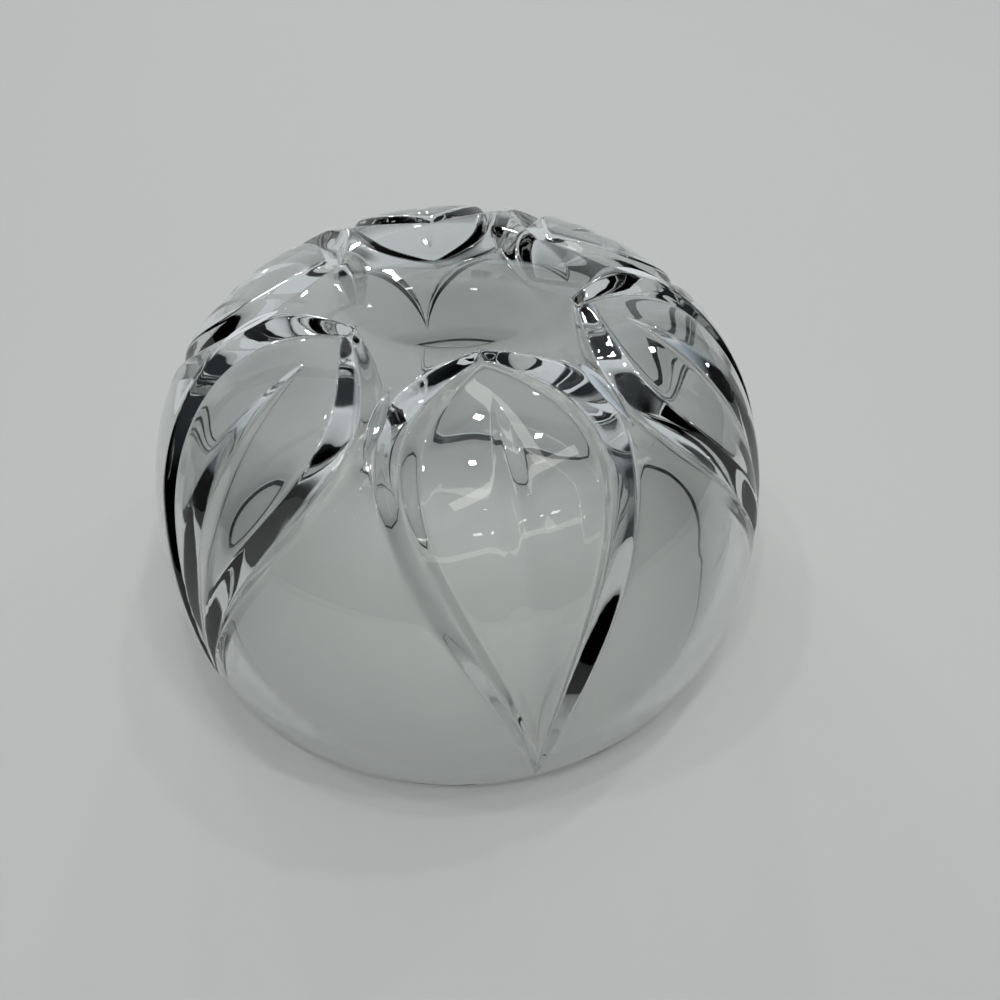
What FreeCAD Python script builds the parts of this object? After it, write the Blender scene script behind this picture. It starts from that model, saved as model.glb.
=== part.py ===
# Rose bowl of clear cut crystal, modelled as it lies in its frame: rim down on z = 0, foot up.
# One blank of glass is revolved from a profile of tangent arcs; six balloon-shaped leaves are then
# cut into its outside, each from two curved mitre cuts that meet in a point by the rim and in an arch
# by the foot, with a shallower vein cut straight down the middle of the leaf.
# Millimetres, +Z up, the bowl's axis on Z, one leaf facing -Y.

import FreeCAD, Part
import math
import os
import Sketcher

os.makedirs("parts", exist_ok=True)
doc = FreeCAD.newDocument("rose_bowl")

# Sizes. Lengths in mm, angles in degrees, shares as parts of the length that their name gives.
SIZES = [
    ("body_diameter", 150.0, "across the widest ring"),
    ("body_height", 82.5, "rim plane to foot face"),
    ("rim_inset", 3.0, "from the widest ring in to the mouth's outside edge, before it is rounded"),
    ("foot_diameter", 48.0, "flat face of the foot"),
    ("rim_wall", 4.0, "glass at the mouth"),
    ("side_wall", 6.5, "glass at the widest ring"),
    ("base_thickness", 12.0, "glass under the foot, on the axis"),
    ("lip_round", 1.1, "radius of both rounded edges of the mouth"),
    ("cut_depth", 4.0, "deepest point of a leaf's outline cut"),
    ("cut_angle", 90.0, "included angle of the outline cut"),
    ("vein_depth", 1.2, "deepest point of the vein cut"),
    ("vein_angle", 150.0, "included angle of the vein cut"),
    ("cut_clearance", 1.2, "open side of the outline cut's solid, clear of the glass"),
    ("cut_run_out", 2.5, "length over which the outline cut rises out of the glass at its ends"),
    ("vein_clearance", 0.8, "open side of the vein cut's solid, clear of the glass"),
    ("vein_run_out", 3.0, "length over which the vein cut rises out of the glass at its ends"),
    ("leaf_count", 6, "leaves round the bowl"),
    ("bulge_rise_share", 0.2, "height of the widest ring, of body_height"),
    ("side_rise_share", 0.617, "height where the side turns into the shoulder, of body_height"),
    ("side_width_share", 0.915, "width there, of body_diameter"),
    ("shoulder_rise_share", 0.869, "height where the shoulder turns into the crown, of body_height"),
    ("shoulder_width_share", 0.705, "width there, of body_diameter"),
    ("hollow_bulge_share", 0.2, "height of the hollow's widest ring, of body_height"),
    ("hollow_side_rise_share", 0.575, "height where the hollow starts to close, of body_height"),
    ("hollow_side_width_share", 0.835, "width there, of body_diameter"),
    ("hollow_crown_rise_share", 0.785, "height where the hollow's floor starts, of body_height"),
    ("leaf_width_share", 0.27, "widest part of a leaf, of body_diameter"),
    ("leaf_tip_share", 0.04, "start of the leaf by the rim, of the profile's length"),
    ("leaf_top_share", 0.979, "arch of the leaf by the foot, of the profile's length"),
    ("deepest_share", 0.75, "where the outline cut is deepest, of its own length from the tip"),
    ("arch_depth_share", 0.4, "depth of the outline cut at the arch, of cut_depth"),
    ("vein_start_share", 0.1, "start of the vein, of the leaf's length from the tip"),
    ("vein_length_share", 0.8, "length of the vein, of the leaf's length"),
]

sheet = doc.addObject("Spreadsheet::Sheet", "Sizes")
for row, (name, value, meaning) in enumerate(SIZES, start=1):
    sheet.set("A%d" % row, name)
    sheet.set("B%d" % row, str(value))
    sheet.set("C%d" % row, meaning)
    sheet.setAlias("B%d" % row, name)
doc.recompute()


def size(name):
    """The plain number that a cell of the sheet holds."""
    return float(sheet.get(name))


# The blank: one closed profile, revolved about the bowl's axis.
body = doc.addObject("PartDesign::Body", "Blank")
plane = [f for f in body.Origin.OriginFeatures if f.Role == "XZ_Plane"][0]
sketch = body.newObject("Sketcher::SketchObject", "Profile")
sketch.AttachmentSupport = (plane, [""])
sketch.MapMode = "FlatFace"


def arc_from(start, normal, end):
    """Arc from start to end whose outward normal at start is given: centre, radius, end normal."""
    step = end - start
    radius = -step.Length ** 2 / (2.0 * step.dot(normal))
    centre = start - normal * radius
    return centre, radius, (end - centre) * (1.0 / radius)


def add_arc(start, end, centre):
    """Add the counter-clockwise arc from start to end about centre and return its number."""
    radius = (start - centre).Length
    first = math.atan2(start.y - centre.y, start.x - centre.x)
    last = math.atan2(end.y - centre.y, end.x - centre.x)
    circle = Part.Circle(centre, FreeCAD.Vector(0, 0, 1), radius)
    return sketch.addGeometry(Part.ArcOfCircle(circle, first, last), False)


V = FreeCAD.Vector
diameter, height = size("body_diameter"), size("body_height")

# Each width and height of the profile: the rule that binds the sketch to the sheet, and the value
# that the sketch is drawn with.
PLACES = {
    "rim": ("Sizes.body_diameter / 2 - Sizes.rim_inset", diameter / 2 - size("rim_inset")),
    "bulge": ("Sizes.body_diameter / 2", diameter / 2),
    "bulge_rise": ("Sizes.bulge_rise_share * Sizes.body_height",
                   size("bulge_rise_share") * height),
    "side": ("Sizes.side_width_share * Sizes.body_diameter / 2",
             size("side_width_share") * diameter / 2),
    "side_rise": ("Sizes.side_rise_share * Sizes.body_height",
                  size("side_rise_share") * height),
    "shoulder": ("Sizes.shoulder_width_share * Sizes.body_diameter / 2",
                 size("shoulder_width_share") * diameter / 2),
    "shoulder_rise": ("Sizes.shoulder_rise_share * Sizes.body_height",
                      size("shoulder_rise_share") * height),
    "foot": ("Sizes.foot_diameter / 2", size("foot_diameter") / 2),
    "foot_rise": ("Sizes.body_height", height),
    "in_rim": ("Sizes.body_diameter / 2 - Sizes.rim_inset - Sizes.rim_wall",
               diameter / 2 - size("rim_inset") - size("rim_wall")),
    "in_bulge": ("Sizes.body_diameter / 2 - Sizes.side_wall", diameter / 2 - size("side_wall")),
    "in_bulge_rise": ("Sizes.hollow_bulge_share * Sizes.body_height",
                      size("hollow_bulge_share") * height),
    "in_side": ("Sizes.hollow_side_width_share * Sizes.body_diameter / 2",
                size("hollow_side_width_share") * diameter / 2),
    "in_side_rise": ("Sizes.hollow_side_rise_share * Sizes.body_height",
                     size("hollow_side_rise_share") * height),
    "in_crown_rise": ("Sizes.hollow_crown_rise_share * Sizes.body_height",
                      size("hollow_crown_rise_share") * height),
    "floor_rise": ("Sizes.body_height - Sizes.base_thickness", height - size("base_thickness")),
}


def drawn(across, up):
    """The point that a named width and a named height give, None for one on an axis."""
    return V(PLACES[across][1] if across else 0, PLACES[up][1] if up else 0, 0)


def place(geometry, end, across, up):
    """Bind one end of a line of the profile to a named width and a named height."""
    for kind, name in (("DistanceX", across), ("DistanceY", up)):
        if name is None:
            continue
        rule, start = PLACES[name]
        number = sketch.addConstraint(Sketcher.Constraint(kind, -1, 1, geometry, end, start))
        sketch.setExpression("Constraints[%d]" % number, rule)


# Outside, from the rim's corner up to the foot's edge.
rim, bulge = drawn("rim", None), drawn("bulge", "bulge_rise")
side, shoulder = drawn("side", "side_rise"), drawn("shoulder", "shoulder_rise")
foot = drawn("foot", "foot_rise")
lean = arc_from(bulge, V(1, 0, 0), rim)
wall = arc_from(bulge, V(1, 0, 0), side)
turn = arc_from(side, wall[2], shoulder)
crown = arc_from(shoulder, turn[2], foot)
g_lean = add_arc(rim, bulge, lean[0])
g_wall = add_arc(bulge, side, wall[0])
g_turn = add_arc(side, shoulder, turn[0])
g_crown = add_arc(shoulder, foot, crown[0])

# Hollow, from the rim's inner corner up to its floor on the axis. The sketch itself finds how wide
# the floor's arc starts, so that it runs smoothly out of the arc before it.
in_rim, in_bulge = drawn("in_rim", None), drawn("in_bulge", "in_bulge_rise")
in_side, floor = drawn("in_side", "in_side_rise"), drawn(None, "floor_rise")
first_try_share = 0.65
in_crown = V(in_side.x * first_try_share, drawn(None, "in_crown_rise").y, 0)
in_lean = arc_from(in_bulge, V(1, 0, 0), in_rim)
in_wall = arc_from(in_bulge, V(1, 0, 0), in_side)
in_turn = arc_from(in_side, in_wall[2], in_crown)
floor_radius = (in_crown.x ** 2 + (floor.y - in_crown.y) ** 2) / (2 * (floor.y - in_crown.y))
g_in_lean = add_arc(in_rim, in_bulge, in_lean[0])
g_in_wall = add_arc(in_bulge, in_side, in_wall[0])
g_in_turn = add_arc(in_side, in_crown, in_turn[0])
g_floor = add_arc(in_crown, floor, V(0, floor.y - floor_radius, 0))

# Straight edges: foot face, axis, and the land of the rim.
g_foot = sketch.addGeometry(Part.LineSegment(foot, V(0, foot.y, 0)), False)
g_axis = sketch.addGeometry(Part.LineSegment(V(0, foot.y, 0), floor), False)
g_land = sketch.addGeometry(Part.LineSegment(in_rim, rim), False)

# In an arc, 1 is its first end, 2 its last end and 3 its centre.
for first, second in ((g_lean, g_wall), (g_wall, g_turn), (g_turn, g_crown),
                      (g_in_lean, g_in_wall), (g_in_wall, g_in_turn), (g_in_turn, g_floor)):
    sketch.addConstraint(Sketcher.Constraint("Tangent", first, 2, second, 1))
for first, end_a, second, end_b in ((g_crown, 2, g_foot, 1), (g_foot, 2, g_axis, 1),
                                    (g_axis, 2, g_floor, 2), (g_in_lean, 1, g_land, 1),
                                    (g_land, 2, g_lean, 1)):
    sketch.addConstraint(Sketcher.Constraint("Coincident", first, end_a, second, end_b))
# The foot's middle, the floor's middle and the floor's centre lie on the axis, the land on z = 0.
sketch.addConstraint(Sketcher.Constraint("PointOnObject", g_foot, 2, -2))
sketch.addConstraint(Sketcher.Constraint("PointOnObject", g_axis, 2, -2))
sketch.addConstraint(Sketcher.Constraint("PointOnObject", g_floor, 3, -2))
sketch.addConstraint(Sketcher.Constraint("Horizontal", g_foot))
sketch.addConstraint(Sketcher.Constraint("PointOnObject", g_lean, 1, -1))
sketch.addConstraint(Sketcher.Constraint("PointOnObject", g_in_lean, 1, -1))
# The widest rings stand upright: their arcs' centres lie level with them.
sketch.addConstraint(Sketcher.Constraint("Horizontal", g_wall, 3, g_wall, 1))
sketch.addConstraint(Sketcher.Constraint("Horizontal", g_in_wall, 3, g_in_wall, 1))
place(g_lean, 1, "rim", None)
place(g_wall, 1, "bulge", "bulge_rise")
place(g_turn, 1, "side", "side_rise")
place(g_crown, 1, "shoulder", "shoulder_rise")
place(g_crown, 2, "foot", "foot_rise")
place(g_in_lean, 1, "in_rim", None)
place(g_in_wall, 1, "in_bulge", "in_bulge_rise")
place(g_in_turn, 1, "in_side", "in_side_rise")
place(g_floor, 1, None, "in_crown_rise")
place(g_floor, 2, None, "floor_rise")

blank = body.newObject("PartDesign::Revolution", "Turned")
blank.Profile = sketch
blank.ReferenceAxis = (sketch, ["V_Axis"])
blank.Angle = 360.0
doc.recompute()
if not sketch.FullyConstrained:
    raise RuntimeError("the profile is not fully constrained")


# Two places that lie closer together than this are one and the same.
HAIR = 1e-4


def ring_edges(shape, level, radii):
    """Names of the circular edges that lie at one level with one of the given radii."""
    names = []
    for number, edge in enumerate(shape.Edges, start=1):
        if edge.Degenerated or not isinstance(edge.Curve, Part.Circle):
            continue
        same_level = abs(edge.Curve.Center.z - level) < HAIR
        if same_level and any(abs(edge.Curve.Radius - r) < HAIR for r in radii):
            names.append("Edge%d" % number)
    return names


# Both edges of the mouth are rounded.
lip = body.newObject("PartDesign::Fillet", "Lip")
lip.Base = (blank, ring_edges(blank.Shape, 0.0, [rim.x, in_rim.x]))
lip.setExpression("Radius", "Sizes.lip_round")
doc.recompute()

# The outside profile as a fine table of points and outward normals, read from the solved sketch.
STEPS = 120
outline = []
for number in (g_lean, g_wall, g_turn, g_crown):
    arc = sketch.Geometry[number]
    for k in range(STEPS + 1):
        at = arc.FirstParameter + (arc.LastParameter - arc.FirstParameter) * k / STEPS
        point = arc.value(at)
        outward = (point - arc.Center) * (1.0 / arc.Radius)
        outline.append((point, outward))
lengths = [0.0]
for before, after in zip(outline, outline[1:]):
    lengths.append(lengths[-1] + (after[0] - before[0]).Length)


def on_profile(share):
    """Radius, height and outward normal at a share of the outside profile's length from the rim."""
    target = share * lengths[-1]
    k = 1
    while k < len(lengths) - 1 and lengths[k] < target:
        k += 1
    span = max(lengths[k] - lengths[k - 1], HAIR)
    mix = (target - lengths[k - 1]) / span
    point = outline[k - 1][0] * (1 - mix) + outline[k][0] * mix
    normal = outline[k - 1][1] * (1 - mix) + outline[k][1] * mix
    normal.normalize()
    return point.x, point.y, normal


LEAF_POWER = 2.15
LEAF_FULLNESS = 0.85
# How far out of the glass a cut's valley has risen after its run-out, of the cut's clearance.
RISE_SHARE = 1 / 3


def half_width(along):
    """Half the leaf's width, measured on the glass: nought at its tip (0) and its arch (1).

    The sine of pi times the raised share gives a leaf that widens slowly from its tip, is widest at
    seven tenths of its length and closes in an arch. Raised in its turn to the leaf's fullness, the
    sine fills out towards both ends, so that the arch is round and full.
    """
    raised = along ** LEAF_POWER
    return size("leaf_width_share") * diameter / 2 * math.sin(math.pi * raised) ** LEAF_FULLNESS


def on_leaf(along, offset):
    """Point and outward normal on the glass beside the leaf's middle line, which faces -Y."""
    share = size("leaf_tip_share") + along * (size("leaf_top_share") - size("leaf_tip_share"))
    radius, level, normal = on_profile(share)
    turn_by = offset / radius
    point = V(radius * math.sin(turn_by), -radius * math.cos(turn_by), level)
    outward = V(normal.x * math.sin(turn_by), -normal.x * math.cos(turn_by), normal.y)
    return point, outward


def mitre_cut(path, depth_at, angle, clear, run_out, stations):
    """Solid that cuts a V along a path of (point, outward normal) pairs on the glass.

    Triangles with the wheel's angle stand across the path, their valley as deep as depth_at says
    for the share of the path's length, their open side clear of the glass. A loft through them is
    the cut, and at both ends it rises out of the glass over the run-out.
    """
    run = [0.0]
    for before, after in zip(path, path[1:]):
        run.append(run[-1] + (after[0] - before[0]).Length)
    slope = math.tan(math.radians(angle / 2))
    wires = []
    for number in range(-1, stations + 2):
        share = min(max(number / stations, 0.0), 1.0)
        k = 1
        while k < len(run) - 1 and run[k] < share * run[-1]:
            k += 1
        mix = (share * run[-1] - run[k - 1]) / (run[k] - run[k - 1])
        point = path[k - 1][0] * (1 - mix) + path[k][0] * mix
        outward = path[k - 1][1] * (1 - mix) + path[k][1] * mix
        outward.normalize()
        ahead = path[k][0] - path[k - 1][0]
        ahead.normalize()
        depth = depth_at(share)
        if number < 0 or number > stations:
            point = point + ahead * (run_out if number > 0 else -run_out)
            depth = -clear * RISE_SHARE
        across = outward.cross(ahead)
        across.normalize()
        reach = across * ((depth + clear) * slope)
        corners = [point - outward * depth, point + outward * clear + reach,
                   point + outward * clear - reach]
        wires.append(Part.makePolygon(corners + corners[:1]))
    cutter = Part.makeLoft(wires, True, False)
    return cutter if cutter.Volume > 0 else cutter.reversed()


def all_round(solid):
    """The same solid for every leaf, turned about the bowl's axis."""
    count = int(size("leaf_count"))
    copies = []
    for k in range(count):
        copy = solid.copy()
        copy.rotate(V(0, 0, 0), V(0, 0, 1), 360.0 * k / count)
        copies.append(copy)
    return Part.makeCompound(copies)


def outline_depth(share):
    """Outline cut: it sinks in from the tip to its deepest point and rises again to the arch."""
    deepest, at_arch = size("deepest_share"), size("arch_depth_share")
    if share < deepest:
        return size("cut_depth") * math.sin(math.pi / 2 * share / deepest)
    past = (share - deepest) / (1 - deepest)
    return size("cut_depth") * (at_arch + (1 - at_arch) * math.cos(math.pi / 2 * past))


def vein_depth(share):
    """Vein cut: it sinks in by the tip and rises out below the arch."""
    return size("vein_depth") * math.sin(math.pi * share) ** VEIN_POWER if 0 < share < 1 else 0.0


VEIN_POWER = 0.7
FINE = 300
OUTLINE_STATIONS = 14
VEIN_STATIONS = 6
cut_sets = []
for name, hand in (("LeftCuts", -1), ("RightCuts", 1)):
    edge_path = [on_leaf(k / FINE, hand * half_width(k / FINE)) for k in range(FINE + 1)]
    cut_sets.append((name, mitre_cut(edge_path, outline_depth, size("cut_angle"),
                                     size("cut_clearance"), size("cut_run_out"),
                                     OUTLINE_STATIONS)))
vein_path = [on_leaf(size("vein_start_share") + size("vein_length_share") * k / FINE, 0.0)
             for k in range(FINE + 1)]
cut_sets.append(("VeinCuts", mitre_cut(vein_path, vein_depth, size("vein_angle"),
                                       size("vein_clearance"), size("vein_run_out"),
                                       VEIN_STATIONS)))

# One set of cuts after another is taken out of the blank.
bowl = body
for name, cutter in cut_sets:
    tool = doc.addObject("Part::Feature", name)
    tool.Shape = all_round(cutter)
    step = doc.addObject("Part::Cut", "With" + name)
    step.Base = bowl
    step.Tool = tool
    doc.recompute()
    bowl = step
bowl.Label = "rose_bowl"

for item in doc.Objects:
    if "Invalid" in item.State or "Error" in item.State:
        raise RuntimeError("%s failed: %s" % (item.Name, item.State))
if bowl.Shape.isNull() or not bowl.Shape.isValid():
    raise RuntimeError("%s has no valid shape" % bowl.Label)
bowl.Shape.exportStep("parts/%s.step" % bowl.Label)
print("%s: %d solid, %d faces, %.0f cubic mm" % (
    bowl.Label, len(bowl.Shape.Solids), len(bowl.Shape.Faces), bowl.Shape.Volume))
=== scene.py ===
# A rose bowl of clear cut crystal, lying rim down with its foot up, on a pale floor.
# Metres, +Z up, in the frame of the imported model: the rim's land on z = 0, the bowl's axis on Z and
# one leaf facing -Y.

import math
import bpy
import mathutils
import numpy as np
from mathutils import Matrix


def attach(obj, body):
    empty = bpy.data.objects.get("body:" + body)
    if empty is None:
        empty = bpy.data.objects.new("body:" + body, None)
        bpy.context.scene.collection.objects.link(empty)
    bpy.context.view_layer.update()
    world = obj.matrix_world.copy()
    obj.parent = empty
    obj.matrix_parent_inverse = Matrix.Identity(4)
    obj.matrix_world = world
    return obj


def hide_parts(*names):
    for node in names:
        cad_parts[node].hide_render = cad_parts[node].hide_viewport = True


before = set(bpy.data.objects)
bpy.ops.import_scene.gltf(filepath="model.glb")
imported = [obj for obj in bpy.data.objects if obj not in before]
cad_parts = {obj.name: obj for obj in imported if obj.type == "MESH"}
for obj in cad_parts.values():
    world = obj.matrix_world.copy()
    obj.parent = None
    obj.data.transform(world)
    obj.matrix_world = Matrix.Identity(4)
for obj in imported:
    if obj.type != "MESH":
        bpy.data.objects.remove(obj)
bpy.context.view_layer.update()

# The blank: lead crystal pressed in a mould, then its foot and rim ground flat and polished. Its
# outside and its hollow are each a chain of arcs that run smoothly into each other, and the whole
# section is one line, from the middle of the foot round the rim to the hollow's floor.

MM = 0.001
BODY_HEIGHT = 82.5 * MM
BODY_RADIUS = 75.0 * MM
RIM_RADIUS = 72.0 * MM
FOOT_RADIUS = 24.0 * MM
RIM_WALL = 4.0 * MM
SIDE_WALL = 6.5 * MM
BASE_THICKNESS = 12.0 * MM
LIP_ROUND = 1.1 * MM
FOOT_ROUND = 0.4 * MM

# Where the arcs meet, as shares of the height and of the widest radius.
BULGE_RISE = 0.2
SIDE_RISE = 0.617
SIDE_WIDTH = 0.915
SHOULDER_RISE = 0.869
SHOULDER_WIDTH = 0.705
HOLLOW_SIDE_RISE = 0.575
HOLLOW_SIDE_WIDTH = 0.835
HOLLOW_CROWN_RISE = 0.785
ARC_STEPS = 400


def arc_chain(points):
    """Smooth chain of arcs through points, upright at the first one, and its last normal.

    Each arc starts square to the normal that the arc before ends with. Its radius is the squared
    step divided by minus twice the step's part along that normal. A point is the centre plus the
    radius along a normal that turns evenly from the first to the last.
    """
    chain = [np.array(points[:1])]
    normal = np.array([1.0, 0.0])
    for start, end in zip(np.array(points), np.array(points[1:])):
        step = end - start
        radius = -step.dot(step) / (2.0 * step.dot(normal))
        centre = start - normal * radius
        last = (end - centre) / radius
        turn = np.linspace(math.atan2(normal[1], normal[0]), math.atan2(last[1], last[0]), ARC_STEPS)
        chain.append(centre + radius * np.column_stack([np.cos(turn), np.sin(turn)])[1:])
        normal = last
    return np.vstack(chain), normal


bulge = (BODY_RADIUS, BULGE_RISE * BODY_HEIGHT)
outside, _ = arc_chain([bulge, (SIDE_WIDTH * BODY_RADIUS, SIDE_RISE * BODY_HEIGHT),
                        (SHOULDER_WIDTH * BODY_RADIUS, SHOULDER_RISE * BODY_HEIGHT),
                        (FOOT_RADIUS, BODY_HEIGHT)])
lean, _ = arc_chain([bulge, (RIM_RADIUS, 0.0)])
outside = np.vstack([lean[::-1], outside[1:]])

# The hollow's floor is an arc about a point on the axis, so of the widths at which it can start,
# the one is taken at which the arc before it ends in the floor's own direction.
NARROWEST_START = 0.2
WIDEST_START = 0.8
START_TRIES = 601
hollow_bulge = (BODY_RADIUS - SIDE_WALL, BULGE_RISE * BODY_HEIGHT)
hollow_side = (HOLLOW_SIDE_WIDTH * BODY_RADIUS, HOLLOW_SIDE_RISE * BODY_HEIGHT)
crown_level = HOLLOW_CROWN_RISE * BODY_HEIGHT
floor_rise = BODY_HEIGHT - BASE_THICKNESS - crown_level
widths = np.linspace(NARROWEST_START, WIDEST_START, START_TRIES) * BODY_RADIUS
floor_radii = (widths ** 2 + floor_rise ** 2) / (2 * floor_rise)
kinks = [abs(arc_chain([hollow_bulge, hollow_side, (width, crown_level)])[1][0] - width / radius)
         for width, radius in zip(widths, floor_radii)]
best = int(np.argmin(kinks))
floor_width, floor_radius = widths[best], floor_radii[best]
hollow, _ = arc_chain([hollow_bulge, hollow_side, (floor_width, crown_level)])
turn = np.linspace(math.asin(floor_width / floor_radius), 0.0, ARC_STEPS)
floor_centre = crown_level + floor_rise - floor_radius
hollow_floor = np.column_stack([floor_radius * np.sin(turn),
                                floor_centre + floor_radius * np.cos(turn)])
hollow_lean, _ = arc_chain([hollow_bulge, (RIM_RADIUS - RIM_WALL, 0.0)])
hollow = np.vstack([hollow_lean[::-1], hollow[1:], hollow_floor[1:]])

# The flat foot and the rim's flat land, each with a rounded edge on every side that shows.
FOOT_STEPS = 200
LAND_STEPS = 80
foot_face = np.column_stack([np.linspace(0.0, FOOT_RADIUS, FOOT_STEPS),
                             np.full(FOOT_STEPS, BODY_HEIGHT)])
land = np.column_stack([np.linspace(RIM_RADIUS, RIM_RADIUS - RIM_WALL, LAND_STEPS),
                        np.zeros(LAND_STEPS)])


def round_corner(before, after, reach, steps=7):
    """Join two lines that meet in a corner by a parabola that starts and ends reach away from it.

    Its points are the corner's two neighbours and the corner itself, weighted by the squares and
    the double product of t and 1 - t.
    """
    corner = before[-1]
    before = before[np.linalg.norm(before - corner, axis=1) > reach]
    after = after[np.linalg.norm(after - corner, axis=1) > reach]
    t = np.linspace(0.0, 1.0, steps)[:, None]
    curve = (1 - t) ** 2 * before[-1] + 2 * t * (1 - t) * corner + t ** 2 * after[0]
    return before, curve[1:-1], after


foot_face, foot_curve, falling = round_corner(foot_face, outside[::-1], FOOT_ROUND)
falling, outer_lip, land = round_corner(falling, land, LIP_ROUND)
land, inner_lip, rising = round_corner(land, hollow, LIP_ROUND)

# How far apart the section's points stand on each of its faces.
FOOT_GAP = 2.6 * MM
OUTSIDE_GAP = 1.0 * MM
LAND_GAP = 0.6 * MM
HOLLOW_GAP = 2.0 * MM


def spaced(line, gap):
    """The line again, with points every gap along it, its two ends kept."""
    run = np.concatenate([[0.0], np.cumsum(np.linalg.norm(np.diff(line, axis=0), axis=1))])
    at = np.linspace(0.0, run[-1], max(2, int(round(run[-1] / gap)) + 1))
    return np.column_stack([np.interp(at, run, line[:, 0]), np.interp(at, run, line[:, 1])])


faces = [spaced(foot_face, FOOT_GAP), foot_curve, spaced(falling, OUTSIDE_GAP), outer_lip,
         spaced(land, LAND_GAP), inner_lip, spaced(rising, HOLLOW_GAP)]
section = np.vstack(faces)
cut_rows = np.zeros(len(section), bool)
cut_rows[len(faces[0]):len(faces[0]) + len(faces[1]) + len(faces[2])] = True

# The leaf cuts: two curved mitre cuts, ground in with a wheel of 90 degrees, run from a point near
# the rim up both sides of each leaf and meet in an arch by the foot. A flatter, shallower cut is
# the leaf's vein. All are polished as clear as the blank.

LEAVES = 6
LEAF_HALF_WIDTH = 0.27 * BODY_RADIUS
CUT_DEPTH = 4.0 * MM
CUT_SLOPE = math.tan(math.radians(90 / 2))
CUT_RUN_OUT = 3.0 * MM
VEIN_DEPTH = 1.2 * MM
VEIN_SLOPE = math.tan(math.radians(150 / 2))

# The leaf's tip and arch are shares of the outside's length from the rim, and its deepest place a
# share of the cut's length. The vein's start, length and depth are shares of the leaf's.
LEAF_TIP = 0.04
LEAF_TOP = 0.979
LEAF_POWER = 2.15
LEAF_FULLNESS = 0.85
DEEPEST = 0.75
ARCH_DEPTH = 0.4
VEIN_START = 0.10
VEIN_LENGTH = 0.80
VEIN_POWER = 0.7

outside_run = np.concatenate([[0.0], np.cumsum(np.linalg.norm(np.diff(outside, axis=0), axis=1))])
nearest = [int(np.argmin(np.linalg.norm(outside - point, axis=1))) for point in section]
along = (outside_run[nearest] / outside_run[-1] - LEAF_TIP) / (LEAF_TOP - LEAF_TIP)
leaf_length = outside_run[-1] * (LEAF_TOP - LEAF_TIP)


def leaf_edge(v):
    """Distance of the cut's valley from the leaf's middle at v, 0 at the tip and 1 at the arch.

    It is the widest half width times the sine of pi times v to the leaf's power, and the sine is
    raised to the leaf's fullness. Past the arch it runs on straight and crosses the middle.
    """
    inside = LEAF_HALF_WIDTH * np.sin(np.pi * np.clip(v, 0.0, 1.0) ** LEAF_POWER) ** LEAF_FULLNESS
    steep = LEAF_HALF_WIDTH * np.pi * LEAF_POWER
    return np.where(v > 1.0, -steep * (v - 1.0), inside)


# How deep and how wide the cut is in each row: deepest on the shoulder, and wider in the rows than
# across itself where its edge runs at a slant.
EDGE_STEPS = 2001
fine = np.linspace(0.0, 1.0, EDGE_STEPS)
edge_step = np.hypot(np.diff(leaf_edge(fine)), np.diff(fine) * leaf_length)
edge_run = np.concatenate([[0.0], np.cumsum(edge_step)]) / edge_step.sum()
run_share = np.interp(along, fine, edge_run)
deep = np.where(run_share < DEEPEST, np.sin(np.pi / 2 * run_share / DEEPEST),
                ARCH_DEPTH + (1 - ARCH_DEPTH)
                * np.cos(np.pi / 2 * (run_share - DEEPEST) / (1 - DEEPEST)))
past_arch = np.clip((along - 1.0) * leaf_length / CUT_RUN_OUT, 0.0, 1.0)
cut_depth = CUT_DEPTH * deep * (1.0 - past_arch) * (cut_rows & (along > 0.0))
valley = leaf_edge(np.maximum(along, 0.0))
STEEPEST_AT = 0.995
slant = np.interp(np.clip(along, 0.0, STEEPEST_AT), fine,
                  np.gradient(leaf_edge(fine), fine * leaf_length))
cut_width = cut_depth * CUT_SLOPE * np.sqrt(1.0 + slant ** 2)
vein_share = (along - VEIN_START) / VEIN_LENGTH
vein_on = cut_rows & (vein_share > 0.0) & (vein_share < 1.0)
vein_rise = np.where(vein_on, np.sin(np.pi * np.clip(vein_share, 0.0, 1.0)), 0.0)
vein_depth = VEIN_DEPTH * vein_rise ** VEIN_POWER
vein_width = vein_depth * VEIN_SLOPE

# Columns of half a leaf's sector. They follow the vein, the leaf's face, the cut's two flanks and the
# plain glass beyond, and stand close together at each crease, so that the light bends only there.
# Towards the foot's middle and the rim they spread out evenly. The stops are shares of the vein's
# and of the cut's half width.
VEIN_STOPS = np.array([0.0, 0.10, 0.30, 0.70, 0.90, 1.05, 1.30])
FLANK_STOPS = np.array([0.0, 0.06, 0.15, 0.35, 0.65, 0.85, 0.94, 1.0, 1.07, 1.18, 1.40])
LEAF_CELLS = 7
PLAIN_CELLS = 7
LEAST_STEP = 0.003
FOOT_ROWS = 3
NO_RADIUS = 1e-6
NO_WIDTH = 1e-9
half_sector = np.pi / LEAVES * np.maximum(section[:, 0], NO_RADIUS)
least = LEAST_STEP * half_sector
vein_edge = np.maximum(vein_width * VEIN_STOPS[-1], least)
inner_edge = np.maximum(valley - cut_width * FLANK_STOPS[-1], vein_edge + 2 * least)
valley_line = np.maximum(valley, inner_edge + least)
outer_edge = np.maximum(valley + cut_width * FLANK_STOPS[-1], valley_line + least)


def between(start, stop, shares):
    """Columns at those shares of the way from start to stop, one row of them for each row."""
    return start[:, None] + (stop - start)[:, None] * shares


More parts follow.
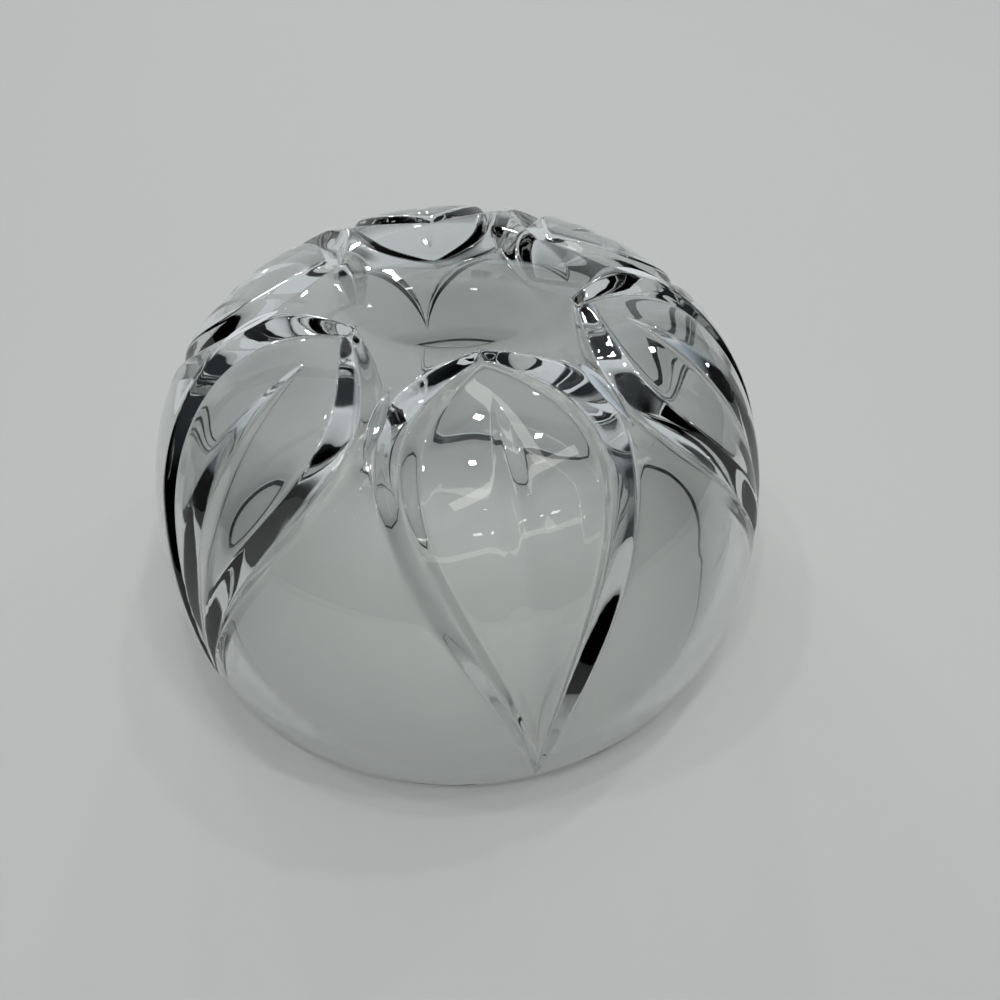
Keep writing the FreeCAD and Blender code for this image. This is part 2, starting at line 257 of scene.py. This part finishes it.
columns = np.hstack([
    between(np.zeros(len(section)), vein_edge, VEIN_STOPS[:-1] / VEIN_STOPS[-1]),
    between(vein_edge, inner_edge, np.arange(LEAF_CELLS) / LEAF_CELLS),
    between(inner_edge, valley_line, 1.0 - FLANK_STOPS[:0:-1] / FLANK_STOPS[-1]),
    between(valley_line, outer_edge, FLANK_STOPS[:-1] / FLANK_STOPS[-1]),
    between(outer_edge, half_sector, np.linspace(0.0, 1.0, PLAIN_CELLS + 1))])
even = half_sector[:, None] * np.linspace(0.0, 1.0, columns.shape[1])
row_number = np.arange(len(section))
first_cut, last_cut = np.flatnonzero(cut_rows)[[0, -1]]
tip_row = np.flatnonzero(cut_rows & (along > 0.0))[-1]
to_rim = np.clip((row_number - tip_row) / (last_cut - tip_row), 0.0, 1.0)
to_foot = np.clip((first_cut - FOOT_ROWS + 1 - row_number) / FOOT_ROWS, 0.0, 1.0)
to_even = np.maximum(to_rim, to_foot)
to_even = (to_even ** 2 * (3 - 2 * to_even))[:, None]
columns = columns * (1 - to_even) + even * to_even

# How far the polishing has rounded a cut's valley and edges, as the square of a share of its width.
POLISH = 0.012
BEYOND = 3


def wheel_cut(depth, spread):
    """How deep a V cut is at that share of its half width from its valley.

    It is the depth times one less the share, with the valley and both edges rounded by taking the
    square root of a square plus the polish in place of the bare value.
    """
    rise = 1.0 - np.sqrt(spread ** 2 + POLISH)
    return depth * (rise + np.sqrt(rise ** 2 + POLISH)) / 2 * (np.abs(spread) < BEYOND)


# A point of the cut glass: the section's point, moved in along its normal by the deeper of the
# outline cut and the vein cut there.
groove = wheel_cut(cut_depth[:, None],
                   (columns - valley[:, None]) / np.maximum(cut_width, NO_WIDTH)[:, None])
vein = wheel_cut(vein_depth[:, None], columns / np.maximum(vein_width, NO_WIDTH)[:, None])
sunk = np.maximum(groove, vein)
tangent = np.gradient(section, axis=0)
tangent /= np.linalg.norm(tangent, axis=1)[:, None]
normal = np.column_stack([-tangent[:, 1], tangent[:, 0]])
radius = section[:, :1] - normal[:, :1] * sunk
level = section[:, 1:] - normal[:, 1:] * sunk
angle = columns / half_sector[:, None] * np.pi / LEAVES

# Both halves of a leaf, then every leaf. The first and the last row are the poles on the axis.
angle = np.hstack([-angle[:, :0:-1], angle])[:, :-1]
radius = np.hstack([radius[:, :0:-1], radius])[:, :-1]
level = np.hstack([level[:, :0:-1], level])[:, :-1]
angle = np.hstack([angle + 2 * np.pi * leaf / LEAVES for leaf in range(LEAVES)])
radius, level = np.tile(radius, LEAVES), np.tile(level, LEAVES)
grid = np.stack([radius * np.sin(angle), -radius * np.cos(angle), level], axis=-1)
rows, around = grid.shape[:2]
points = np.vstack([[0.0, 0.0, BODY_HEIGHT], grid[1:-1].reshape(-1, 3),
                    [0.0, 0.0, section[-1, 1]]])
ring = np.arange(around)
after = (ring + 1) % around
first = 1 + np.arange(rows - 3)[:, None] * around
quads = np.stack([first + ring, first + around + ring, first + around + after, first + after],
                 axis=-1).reshape(-1, 4)
end = len(points) - 1
foot_fan = np.column_stack([np.zeros(around, int), 1 + ring, 1 + after])
floor_fan = np.column_stack([np.full(around, end), end - around + after, end - around + ring])

mesh = bpy.data.meshes.new("rose_bowl_glass")
mesh.from_pydata(points, [], quads.tolist() + foot_fan.tolist() + floor_fan.tolist())
mesh.update()
mesh.polygons.foreach_set("use_smooth", np.ones(len(mesh.polygons), bool))
bowl = bpy.data.objects.new("rose_bowl_glass", mesh)
bpy.context.scene.collection.objects.link(bowl)


def linear(hex_colour):
    """An sRGB hex colour as the linear red, green, blue and alpha that a socket takes."""
    parts = [int(hex_colour[i:i + 2], 16) / 255 for i in (1, 3, 5)]
    return [p / 12.92 if p <= 0.04045 else ((p + 0.055) / 1.055) ** 2.4 for p in parts] + [1.0]


def add_node(tree, kind, settings=(), links=()):
    """One node of that kind, with its settings, and its input sockets linked or set."""
    node = tree.nodes.new(kind)
    for name, value in dict(settings).items():
        setattr(node, name, value)
    for name, value in dict(links).items():
        if isinstance(value, bpy.types.NodeSocket):
            tree.links.new(value, node.inputs[name])
        else:
            node.inputs[name].default_value = value
    return node


def colour_steps(node, steps):
    """Set a colour ramp to colours at those places, from its first, at 0, to its last, at 1."""
    ramp = node.color_ramp
    ramp.elements[0].color = linear(steps[0][1])
    ramp.elements[1].color = linear(steps[-1][1])
    for place, colour in steps[1:-1]:
        ramp.elements.new(place).color = linear(colour)


# Lead crystal, polished: clear, faintly grey, and bright at its cuts because it bends light more than
# window glass does. Its moulded faces are very slightly wavy. Lamps shine through it to the paper,
# less where their light meets it at a slant, so that every cut and the wall draw their own shadow.
WAVE_SCALE = 42.0
WAVE_HEIGHT = 0.12 * MM
crystal = bpy.data.materials.new("polished_lead_crystal")
crystal.use_nodes = True
tree = crystal.node_tree
tree.nodes.clear()
where = add_node(tree, "ShaderNodeTexCoord")
waves = add_node(tree, "ShaderNodeTexNoise", links={
    "Vector": where.outputs["Object"], "Scale": WAVE_SCALE, "Detail": 1.0, "Roughness": 0.4})
wavy = add_node(tree, "ShaderNodeBump", links={
    "Height": waves.outputs[0], "Strength": 1.0, "Distance": WAVE_HEIGHT})
shader = add_node(tree, "ShaderNodeBsdfPrincipled", links={
    "Base Color": linear("#E2E5E4"), "Roughness": 0.0, "IOR": 1.545, "Transmission Weight": 1.0,
    "Normal": wavy.outputs["Normal"]})
slanting = add_node(tree, "ShaderNodeLayerWeight", links={"Blend": 0.5})
dimming = add_node(tree, "ShaderNodeValToRGB", links={"Fac": slanting.outputs["Facing"]})
colour_steps(dimming, [(0.0, "#CCCCCC"), (0.45, "#A4A4A4"), (1.0, "#101010")])
passing = add_node(tree, "ShaderNodeBsdfTransparent", links={"Color": dimming.outputs["Color"]})
path = add_node(tree, "ShaderNodeLightPath")
both = add_node(tree, "ShaderNodeMixShader", links={"Fac": path.outputs["Is Shadow Ray"]})
tree.links.new(shader.outputs["BSDF"], both.inputs[1])
tree.links.new(passing.outputs["BSDF"], both.inputs[2])
add_node(tree, "ShaderNodeOutputMaterial", links={"Surface": both.outputs["Shader"]})
mesh.materials.append(crystal)

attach(bowl, "root")
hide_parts("rose_bowl")

# The floor is a wide sheet of plain pale paper. It lies a hair below the rim, so that the two flat
# faces don't meet.
FLOOR_HALF = 1.6
FLOOR_LEVEL = -0.1 * MM
corners = [(x, y, FLOOR_LEVEL) for x, y in ((-FLOOR_HALF, -FLOOR_HALF), (FLOOR_HALF, -FLOOR_HALF),
                                            (FLOOR_HALF, FLOOR_HALF), (-FLOOR_HALF, FLOOR_HALF))]
floor_mesh = bpy.data.meshes.new("paper_floor")
floor_mesh.from_pydata(corners, [], [(0, 1, 2, 3)])
paper_floor = bpy.data.objects.new("paper_floor", floor_mesh)
bpy.context.scene.collection.objects.link(paper_floor)

# Plain paper: pale grey and dull.
paper = bpy.data.materials.new("plain_paper")
paper.use_nodes = True
paper_shader = paper.node_tree.nodes["Principled BSDF"]
paper_shader.inputs["Base Color"].default_value = linear("#C5C5C4")
paper_shader.inputs["Roughness"].default_value = 0.9
floor_mesh.materials.append(paper)

# The lamps: ten small downlights, which make the glints, and two long tubes overhead, whose mirror
# images wander over the wavy glass.
BOWL_MIDDLE = (0.0, 0.0, 0.04)
LAMP_COLOUR = "#FFFDF8"
DOWNLIGHT_SIZE = 0.06
DOWNLIGHT_WATTS = 2.0
DOWNLIGHT_PLACES = [(-0.6, -0.35, 1.7), (0.0, -0.45, 1.7), (0.6, -0.2, 1.7), (-0.75, 0.3, 1.7),
                    (0.7, 0.5, 1.7), (0.15, 0.15, 1.7), (-0.5, 1.8, 0.9), (-0.1, 1.9, 0.7),
                    (0.5, 1.8, 0.9), (1.5, 0.8, 1.0)]
TUBE_LENGTH = 1.5
TUBE_WIDTH = 0.14
TUBE_WATTS = 2.0
TUBE_PLACES = [(0.35, 0.12, 1.7), (0.35, -0.75, 1.7)]


def area_lamp(name, place, length, width, watts):
    """A rectangular area lamp of that size at that place, facing the bowl."""
    lamp = bpy.data.lights.new(name, "AREA")
    lamp.shape = "RECTANGLE"
    lamp.size = length
    lamp.size_y = width
    lamp.energy = watts
    lamp.color = linear(LAMP_COLOUR)[:3]
    holder = bpy.data.objects.new(name, lamp)
    bpy.context.scene.collection.objects.link(holder)
    aim = mathutils.Vector(BOWL_MIDDLE) - mathutils.Vector(place)
    holder.location = place
    holder.rotation_euler = aim.to_track_quat("-Z", "Y").to_euler()


for number, place in enumerate(DOWNLIGHT_PLACES):
    area_lamp("downlight_%d" % number, place, DOWNLIGHT_SIZE, DOWNLIGHT_SIZE, DOWNLIGHT_WATTS)
for number, place in enumerate(TUBE_PLACES):
    area_lamp("tube_light_%d" % number, place, TUBE_LENGTH, TUBE_WIDTH, TUBE_WATTS)

# The room is pale overhead and dark at its sides, which gives the cuts their black streaks. A pale
# wall stands behind the bowl, with two black flags hung before it.
WALL_TURN = 90.0
WALL_RISE = 0.20
WALL_REACH = 50.0
FLAG_TURNS = (75.0, 137.0)
FLAG_RISE = 0.56
FLAG_REACH = 16.0
SOFT_EDGE = 0.03
ROOM_STRENGTH = 0.85
world = bpy.data.worlds.new("dim_room")
bpy.context.scene.world = world
world.use_nodes = True
sky = world.node_tree
direction = add_node(sky, "ShaderNodeTexCoord").outputs["Generated"]


def towards(turn, rise):
    """How far a direction of the room agrees with the one that is turned by that many degrees from
    +X towards +Y and rises by that share of its length."""
    flat = math.sqrt(1.0 - rise ** 2)
    axis = (flat * math.cos(math.radians(turn)), flat * math.sin(math.radians(turn)), rise)
    node = add_node(sky, "ShaderNodeVectorMath", {"operation": "DOT_PRODUCT"}, {0: direction, 1: axis})
    return node.outputs["Value"]


def patch(room, turn, rise, reach, colour):
    """The room with a round, soft-edged patch of a colour, that many degrees from middle to edge."""
    edge = math.cos(math.radians(reach))
    inside = add_node(sky, "ShaderNodeMapRange", {"interpolation_type": "SMOOTHSTEP"}, {
        "Value": towards(turn, rise), "From Min": edge - SOFT_EDGE, "From Max": edge + SOFT_EDGE})
    mixed = add_node(sky, "ShaderNodeMix", {"data_type": "RGBA"}, {0: inside.outputs["Result"]})
    sky.links.new(room, mixed.inputs[6])
    mixed.inputs[7].default_value = linear(colour)
    return mixed.outputs[2]


height = add_node(sky, "ShaderNodeValToRGB", links={"Fac": towards(0.0, 1.0)})
colour_steps(height, [(0.0, "#1C1C1D"), (0.50, "#1C1C1D"), (0.70, "#B6C0C8"), (1.0, "#DAE2E8")])
room = patch(height.outputs["Color"], WALL_TURN, WALL_RISE, WALL_REACH, "#E4E8EA")
for flag_turn in FLAG_TURNS:
    room = patch(room, flag_turn, FLAG_RISE, FLAG_REACH, "#141414")
sky.links.new(room, sky.nodes["Background"].inputs["Color"])
sky.nodes["Background"].inputs["Strength"].default_value = ROOM_STRENGTH

# The camera stands above the leaf's left side, at the photograph's distance and angle. Its distance
# from the axis and its height are in rim radii, and its focal length is in pixels of the image.
CAMERA_TURN = math.radians(-9.5)
CAMERA_AWAY = 1.933 * RIM_RADIUS
CAMERA_HEIGHT = 2.291 * RIM_RADIUS
CAMERA_PITCH = math.radians(47.1)
CAMERA_YAW = math.radians(4.0)
FOCAL_PIXELS = 751
IMAGE_PIXELS = 1000
SENSOR = 36.0
camera_data = bpy.data.cameras.new("camera")
camera_data.sensor_width = SENSOR
camera_data.lens = SENSOR * FOCAL_PIXELS / IMAGE_PIXELS
camera_data.clip_start = 0.01
camera = bpy.data.objects.new("camera", camera_data)
bpy.context.scene.collection.objects.link(camera)
camera.location = (CAMERA_AWAY * math.sin(CAMERA_TURN), -CAMERA_AWAY * math.cos(CAMERA_TURN),
                   CAMERA_HEIGHT)
camera.rotation_euler = (math.pi / 2 - CAMERA_PITCH, 0.0, CAMERA_TURN - CAMERA_YAW)
bpy.context.scene.camera = camera
bpy.context.scene.view_settings.view_transform = "Standard"
